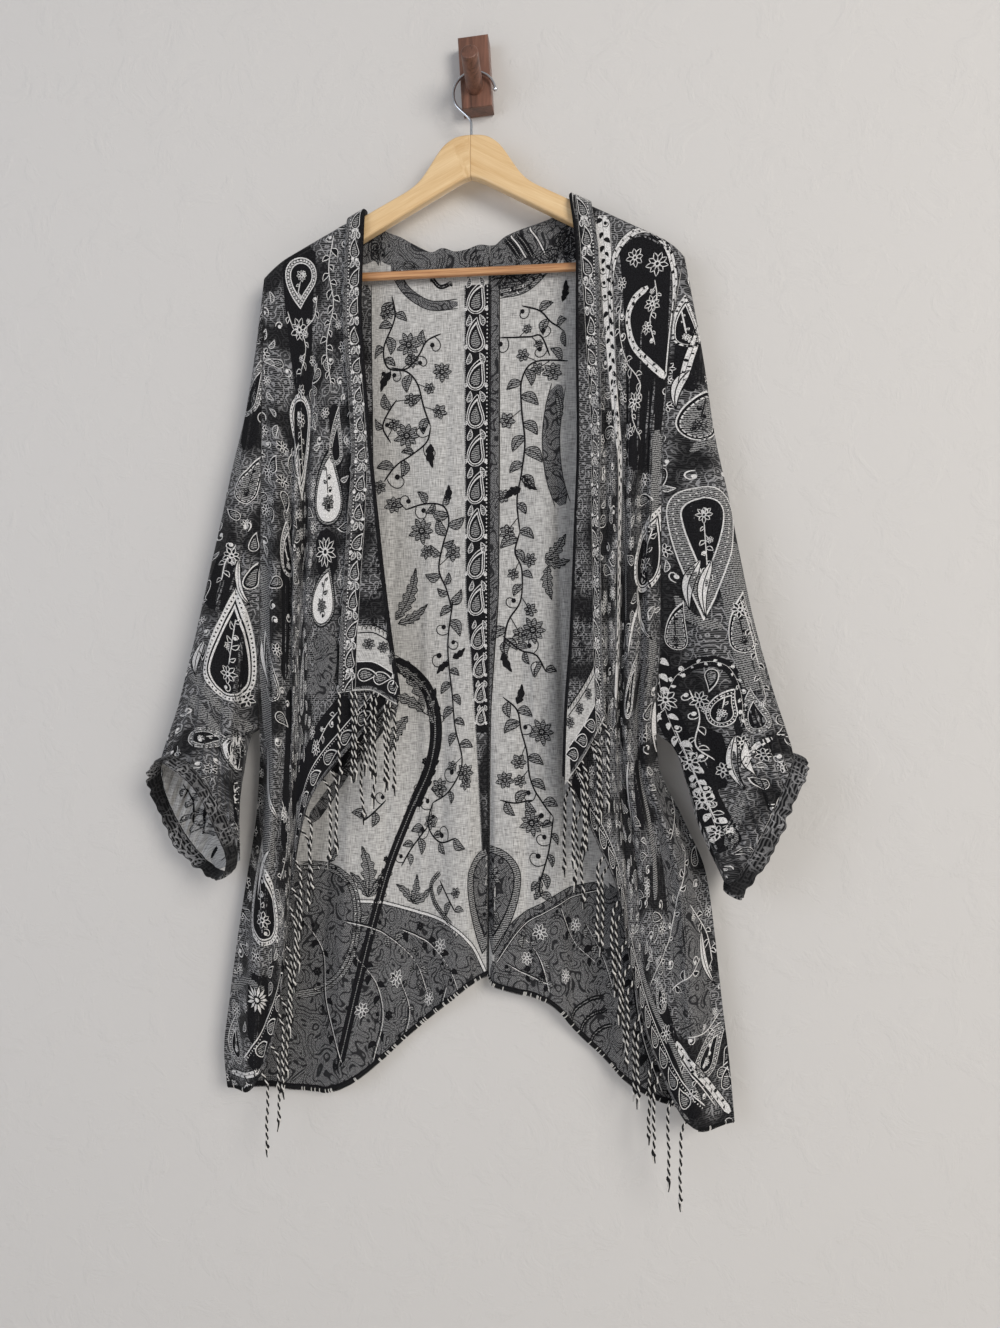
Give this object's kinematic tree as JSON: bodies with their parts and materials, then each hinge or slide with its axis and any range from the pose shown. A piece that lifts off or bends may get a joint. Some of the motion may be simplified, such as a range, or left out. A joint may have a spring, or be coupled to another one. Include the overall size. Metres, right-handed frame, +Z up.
{
  "type": "open-front fringed poncho jacket",
  "caption": "Loose open-front wrap of paisley shawl cloth with fringed slanting fronts, turned-out lapels and gathered sleeves, on a wooden hanger from a wall peg.",
  "frame": {"origin": "middle of the wall plate's back face, on the wall plane", "axes": "+Z up, +Y into the wall, +X to the viewer's right as the front is faced"},
  "size_m": [0.6881, 0.0873, 1.2187],
  "materials": {
    "jacquard_cloth": "double-faced woven jacquard, matt",
    "fringe_yarn": "two-ply twisted black and white yarn",
    "beech_wood": "clear satin lacquer",
    "stained_dowel": "reddish stain, semi-gloss",
    "chrome_wire": "polished",
    "walnut_wood": "oiled"
  },
  "bodies": {
    "root": {"back_left": "jacquard_cloth", "back_right": "jacquard_cloth", "front_left": "jacquard_cloth", "front_right": "jacquard_cloth", "sleeve_left": "jacquard_cloth", "sleeve_right_front": "jacquard_cloth", "sleeve_right_back": "jacquard_cloth", "cuff_left": "jacquard_cloth", "cuff_right": "jacquard_cloth", "fringe_front_left": "fringe_yarn", "fringe_front_right": "fringe_yarn", "fringe_lapel_left": "fringe_yarn", "fringe_lapel_right": "fringe_yarn", "hanger_body": "beech_wood", "hanger_bar": "stained_dowel", "hanger_hook": "chrome_wire", "wall_plate": "walnut_wood", "wall_peg": "walnut_wood"}
  },
  "joints": []
}
